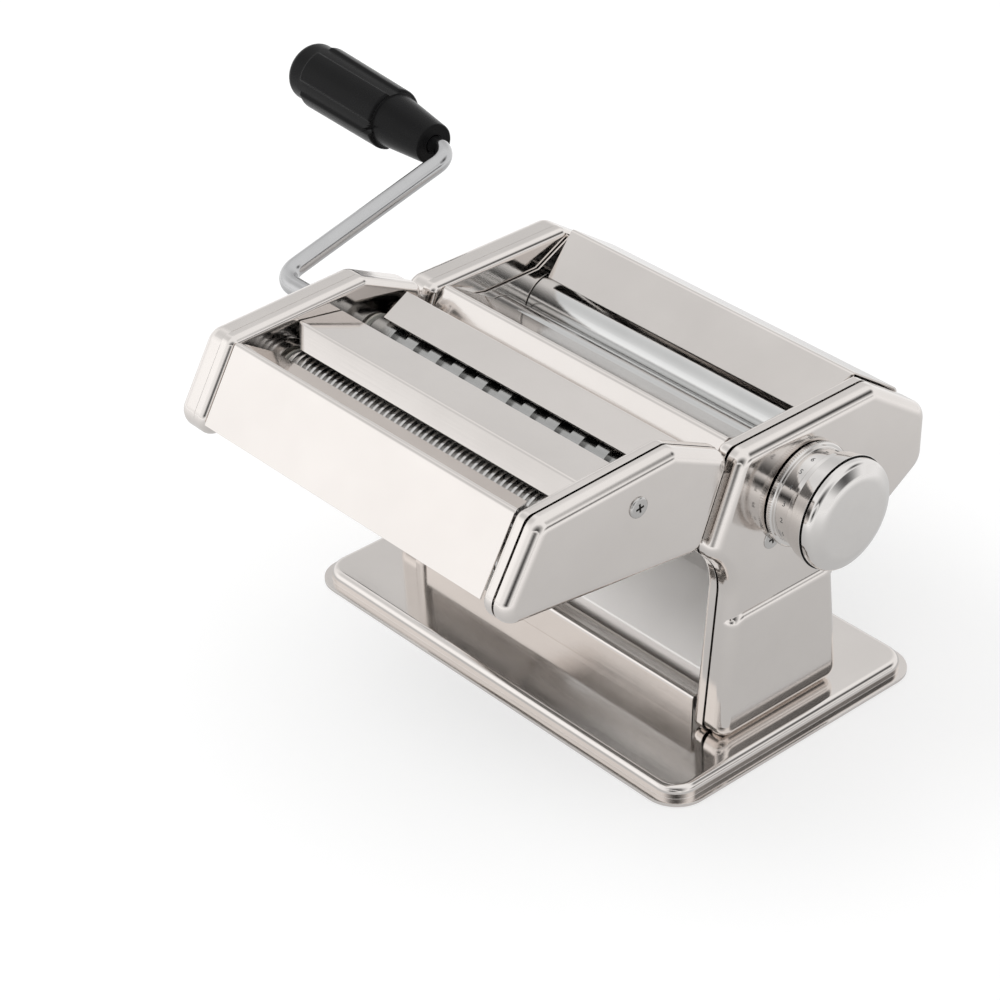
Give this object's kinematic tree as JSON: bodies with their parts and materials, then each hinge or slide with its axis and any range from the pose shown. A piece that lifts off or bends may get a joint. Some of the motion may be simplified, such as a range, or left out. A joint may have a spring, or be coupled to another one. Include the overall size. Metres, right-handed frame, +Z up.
{
  "type": "pasta roller machine",
  "caption": "Hand-cranked table machine with adjustable smooth rollers for sheets and a slide-on unit with two pairs of interleaved cutter rollers.",
  "frame": {"origin": "middle of the base pan, on the plane that the four feet stand on", "axes": "+X along the rollers towards the setting knob, -Y towards the cutter unit, +Z up"},
  "size_m": [0.3539, 0.2168, 0.162],
  "materials": {
    "polished_sheet": "mirror-polished stainless sheet",
    "roller_steel": "ground and polished steel",
    "cutter_steel": "turned steel",
    "screw_steel": "plated steel",
    "inner_steel": "plain steel",
    "knob_metal": "turned and polished",
    "bush_nylon": "moulded",
    "comb_plastic": "moulded",
    "black_plastic": "moulded, semi-gloss",
    "foot_rubber": "moulded"
  },
  "bodies": {
    "machine": {"base_pan": "polished_sheet", "base_screws": "screw_steel", "rubber_feet": "foot_rubber", "right_inner_cheek": "polished_sheet", "left_inner_cheek": "polished_sheet", "right_outer_cover": "polished_sheet", "left_outer_cover": "polished_sheet", "tie_rods": "inner_steel", "cover_screws": "screw_steel", "rear_roller_bushes": "bush_nylon", "eccentric_bushes": "bush_nylon", "rear_hopper_sheet": "polished_sheet", "front_hopper_bar": "polished_sheet", "right_end_guard": "polished_sheet", "left_end_guard": "polished_sheet", "front_scraper": "comb_plastic", "rear_scraper": "comb_plastic", "chute_sheet": "polished_sheet", "front_plinth": "polished_sheet", "clamp_bracket": "polished_sheet", "guide_rails": "screw_steel", "index_plate": "inner_steel"},
    "rear_smooth_roller": {"rear_roller": "roller_steel", "rear_roller_gear": "inner_steel"},
    "regulator": {"eccentric_shaft": "inner_steel"},
    "floating_sleeves": {"front_roller_sleeves": "inner_steel"},
    "front_smooth_roller": {"front_roller": "roller_steel", "front_roller_gear": "inner_steel"},
    "knob": {"knob_drum": "knob_metal", "knob_cap": "knob_metal", "index_pin": "inner_steel"},
    "cutter": {"cutter_right_plate": "polished_sheet", "cutter_left_plate": "polished_sheet", "cutter_right_cap": "polished_sheet", "cutter_left_cap": "polished_sheet", "cutter_tie_rods": "inner_steel", "cap_posts": "inner_steel", "cap_screws": "screw_steel", "cutter_bushes": "bush_nylon", "slide_hooks": "screw_steel", "cutter_front_cover": "polished_sheet", "cutter_middle_cover": "polished_sheet", "cutter_rear_cover": "polished_sheet", "fine_front_comb": "comb_plastic", "fine_rear_comb": "comb_plastic", "wide_front_comb": "comb_plastic", "wide_rear_comb": "comb_plastic"},
    "fine_front": {"fine_front_roller": "cutter_steel", "fine_drive_stub": "cutter_steel", "fine_front_gear": "inner_steel"},
    "fine_rear": {"fine_rear_roller": "cutter_steel", "fine_rear_gear": "inner_steel"},
    "wide_front": {"wide_front_roller": "cutter_steel", "wide_front_gear": "inner_steel"},
    "wide_rear": {"wide_rear_roller": "cutter_steel", "wide_rear_gear": "inner_steel"},
    "crank": {"crank_rod": "roller_steel", "grip_rivet": "screw_steel"},
    "grip": {"crank_grip": "black_plastic"}
  },
  "joints": [
    {"name": "rear_roller_spin", "type": "hinge", "parent": "machine", "child": "rear_smooth_roller", "pos_m": [0, 0.03592, 0.1029], "axis": [1, 0, 0], "continuous": true},
    {"name": "knob_turn", "type": "hinge", "parent": "machine", "child": "regulator", "pos_m": [0, 0.0085, 0.1029], "axis": [1, 0, 0], "range_deg": [0, 160]},
    {"name": "sleeve_float", "type": "hinge", "parent": "regulator", "child": "floating_sleeves", "pos_m": [0, 0.00732, 0.1029], "axis": [1, 0, 0], "range_deg": [-160, 0]},
    {"name": "front_roller_spin", "type": "hinge", "parent": "floating_sleeves", "child": "front_smooth_roller", "pos_m": [0, 0.00732, 0.1029], "axis": [1, 0, 0], "continuous": true},
    {"name": "knob_pull", "type": "slide", "parent": "regulator", "child": "knob", "axis": [1, 0, 0], "range_m": [0, 0.004], "stiffness_N_per_m": 800},
    {"name": "cutter_lift", "type": "slide", "parent": "machine", "child": "cutter", "axis": [0, 0.3714, 0.9285], "range_m": [0, 0.045]},
    {"name": "fine_front_spin", "type": "hinge", "parent": "cutter", "child": "fine_front", "pos_m": [0, -0.1155, 0.1229], "axis": [1, 0, 0], "continuous": true},
    {"name": "fine_rear_spin", "type": "hinge", "parent": "cutter", "child": "fine_rear", "pos_m": [0, -0.0949, 0.1229], "axis": [1, 0, 0], "continuous": true},
    {"name": "wide_rear_spin", "type": "hinge", "parent": "cutter", "child": "wide_rear", "pos_m": [0, -0.0544, 0.1229], "axis": [1, 0, 0], "continuous": true},
    {"name": "wide_front_spin", "type": "hinge", "parent": "cutter", "child": "wide_front", "pos_m": [0, -0.073, 0.1229], "axis": [1, 0, 0], "continuous": true},
    {"name": "crank_pull", "type": "slide", "parent": "wide_rear", "child": "crank", "axis": [-1, 0, 0], "range_m": [0, 0.03]},
    {"name": "grip_spin", "type": "hinge", "parent": "crank", "child": "grip", "pos_m": [-0.18588, 0.04028, 0.14774], "axis": [0.9976, -0.0675, -0.0177], "continuous": true}
  ],
  "couplings": [
    {"joint": "front_roller_spin", "follows": "rear_roller_spin", "ratio": -1},
    {"joint": "sleeve_float", "follows": "knob_turn", "ratio": -1},
    {"joint": "fine_rear_spin", "follows": "fine_front_spin", "ratio": -1},
    {"joint": "wide_front_spin", "follows": "wide_rear_spin", "ratio": -1}
  ]
}
